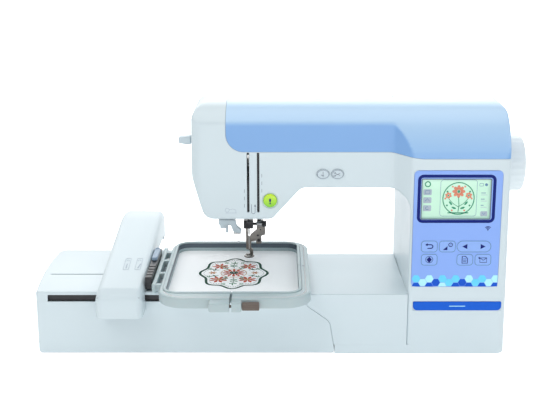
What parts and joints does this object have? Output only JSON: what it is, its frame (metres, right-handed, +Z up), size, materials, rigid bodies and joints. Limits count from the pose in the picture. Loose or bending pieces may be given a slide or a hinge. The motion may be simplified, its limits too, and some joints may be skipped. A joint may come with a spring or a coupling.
{
  "type": "embroidery machine",
  "caption": "Home embroidery machine with a touch panel, hinged blue cover, sewing head, detachable embroidery unit, travelling carriage and hooped fabric.",
  "frame": {"origin": "on the table, under the middle of the whole object's bounding box", "axes": "+X along the arm towards the handwheel, +Y away from the person who sews, +Z up"},
  "size_m": [0.565, 0.298, 0.283],
  "materials": {
    "casing": "satin white moulded plastic with a cool tint",
    "inner": "grey moulded plastic",
    "frame_casting": "as cast",
    "blue_cover": "pale blue glossy plastic",
    "panel": "blue printed overlay",
    "screen": "lit screen",
    "badge": "plain blue plate",
    "go_button": "lit yellow-green plastic",
    "button": "satin plastic",
    "steel": "ground steel",
    "foot_steel": "dull brown-grey steel",
    "black": "black",
    "rubber": "moulded rubber",
    "hoop": "pale grey-blue plastic",
    "fabric": "plain woven cotton with stabiliser",
    "lever": "blue-grey plastic",
    "clear": "clear plastic"
  },
  "bodies": {
    "machine": {"front_housing": "casing", "rear_housing": "casing", "bed_cover": "casing", "base_tray": "inner", "control_panel": "panel", "lcd_module": "screen", "badge_plate": "badge", "needle_plate": "steel", "bobbin_cover": "clear", "hook_race": "steel", "bobbin_case": "black", "timing_belt": "rubber", "motor_belt": "rubber", "drive_motor": "steel", "chassis": "frame_casting", "lamp": "clear", "spool_pin": "casing", "power_inlet": "black", "foot_front_right": "rubber", "foot_rear_right": "rubber", "foot_rear_left": "rubber", "unit_foot_front": "rubber", "unit_foot_rear": "rubber", "unit_lower_case": "casing", "unit_upper_cover": "casing", "x_rail": "steel"},
    "cover": {"top_cover": "blue_cover"},
    "handle": {"carry_handle": "casing"},
    "start_button": {"start_stop_button": "go_button"},
    "position_button": {"needle_position_button": "button"},
    "cutter_button": {"thread_cutter_button": "button"},
    "drive": {"main_shaft": "steel", "crank_wheel": "steel", "handwheel": "casing"},
    "lower_drive": {"lower_shaft": "steel"},
    "hook": {"rotary_hook": "steel"},
    "bobbin_spool": {"bobbin": "clear"},
    "motor_wheel": {"motor_pulley": "steel"},
    "needle_assembly": {"needle_bar": "steel", "needle_clamp": "black", "needle": "steel"},
    "rod": {"connecting_rod": "steel"},
    "presser": {"presser_bar": "steel", "embroidery_foot": "foot_steel", "foot_screw": "black"},
    "lifting_lever": {"presser_lever": "casing"},
    "take_up": {"take_up_lever": "steel"},
    "threader": {"threader_lever": "casing", "threader_hook": "casing"},
    "latch": {"cover_latch": "black"},
    "winder": {"winder_spindle": "black"},
    "switch": {"power_switch": "black"},
    "carriage": {"carriage_cover": "casing", "carriage_base": "inner"},
    "frame": {"frame_holder": "black", "hoop_outer": "hoop", "hoop_inner": "hoop", "fabric": "fabric"},
    "lock_lever": {"securing_lever": "lever"},
    "clamp_screw": {"hoop_screw": "black"}
  },
  "joints": [
    {"name": "cover_hinge", "type": "hinge", "parent": "machine", "child": "cover", "pos_m": [0.0945, -0.0143, 0.2832], "axis": [1, 0, 0], "range_deg": [-75, 0]},
    {"name": "handle_hinge", "type": "hinge", "parent": "machine", "child": "handle", "pos_m": [0.0445, 0.0145, 0.2675], "axis": [1, 0, 0], "range_deg": [0, 95]},
    {"name": "start_stop_press", "type": "slide", "parent": "machine", "child": "start_button", "axis": [0, 1, 0], "range_m": [0, 0.0015], "stiffness_N_per_m": 800, "springref_m": -0.0006},
    {"name": "needle_position_press", "type": "slide", "parent": "machine", "child": "position_button", "axis": [0, 1, 0], "range_m": [0, 0.0015], "stiffness_N_per_m": 800, "springref_m": -0.0006},
    {"name": "thread_cutter_press", "type": "slide", "parent": "machine", "child": "cutter_button", "axis": [0, 1, 0], "range_m": [0, 0.0015], "stiffness_N_per_m": 800, "springref_m": -0.0006},
    {"name": "main_shaft_spin", "type": "hinge", "parent": "machine", "child": "drive", "pos_m": [0.0045, 0.014, 0.203], "axis": [1, 0, 0], "continuous": true},
    {"name": "lower_shaft_spin", "type": "hinge", "parent": "machine", "child": "lower_drive", "pos_m": [0.0045, 0.0252, 0.038], "axis": [1, 0, 0], "continuous": true},
    {"name": "hook_spin", "type": "hinge", "parent": "machine", "child": "hook", "pos_m": [-0.0391, 0.006, 0.05], "axis": [0, 0, 1], "continuous": true},
    {"name": "motor_spin", "type": "hinge", "parent": "machine", "child": "motor_wheel", "pos_m": [0.1845, -0.03, 0.11], "axis": [1, 0, 0], "continuous": true},
    {"name": "bobbin_spin", "type": "hinge", "parent": "machine", "child": "bobbin_spool", "pos_m": [-0.0391, 0.006, 0.06], "axis": [0, 0, 1], "continuous": true},
    {"name": "needle_bar_travel", "type": "slide", "parent": "machine", "child": "needle_assembly", "axis": [0, 0, 1], "range_m": [-0.031, 0]},
    {"name": "rod_swing", "type": "hinge", "parent": "needle_assembly", "child": "rod", "pos_m": [-0.0575, 0.014, 0.168], "axis": [1, 0, 0], "range_deg": [-14, 14]},
    {"name": "presser_lever_lift", "type": "hinge", "parent": "machine", "child": "lifting_lever", "pos_m": [-0.017, 0.058, 0.168], "axis": [1, 0, 0], "range_deg": [0, 50]},
    {"name": "presser_bar_lift", "type": "slide", "parent": "machine", "child": "presser", "axis": [0, 0, 1], "range_m": [0, 0.007]},
    {"name": "take_up_swing", "type": "hinge", "parent": "machine", "child": "take_up", "pos_m": [-0.0369, -0.028, 0.216], "axis": [1, 0, 0], "range_deg": [0, 30]},
    {"name": "threader_travel", "type": "slide", "parent": "machine", "child": "threader", "axis": [0, 0, -1], "range_m": [0, 0.028], "stiffness_N_per_m": 60, "springref_m": -0.02},
    {"name": "bobbin_cover_latch", "type": "slide", "parent": "machine", "child": "latch", "axis": [1, 0, 0], "range_m": [0, 0.0025]},
    {"name": "winder_travel", "type": "slide", "parent": "machine", "child": "winder", "axis": [1, 0, 0], "range_m": [0, 0.006]},
    {"name": "power_rocker", "type": "hinge", "parent": "machine", "child": "switch", "pos_m": [0.252, 0.038, 0.06], "axis": [0, 1, 0], "range_deg": [-7, 7]},
    {"name": "carriage_x", "type": "slide", "parent": "machine", "child": "carriage", "axis": [1, 0, 0], "range_m": [-0.047, 0.075]},
    {"name": "frame_y", "type": "slide", "parent": "carriage", "child": "frame", "axis": [0, 1, 0], "range_m": [-0.024, 0.135]},
    {"name": "securing_lever_swing", "type": "hinge", "parent": "frame", "child": "lock_lever", "pos_m": [-0.14925, -0.016, 0.094], "axis": [0, 0, 1], "range_deg": [-60, 0]},
    {"name": "hoop_screw_turn", "type": "hinge", "parent": "frame", "child": "clamp_screw", "pos_m": [-0.0595, -0.143, 0.0811], "axis": [1, 0, 0], "continuous": true}
  ],
  "couplings": [
    {"joint": "lower_shaft_spin", "follows": "main_shaft_spin", "ratio": 1},
    {"joint": "hook_spin", "follows": "main_shaft_spin", "ratio": 2},
    {"joint": "motor_spin", "follows": "main_shaft_spin", "ratio": 2.8571},
    {"joint": "presser_lever_lift", "follows": "presser_bar_lift", "rad_per_m": 124.67}
  ]
}
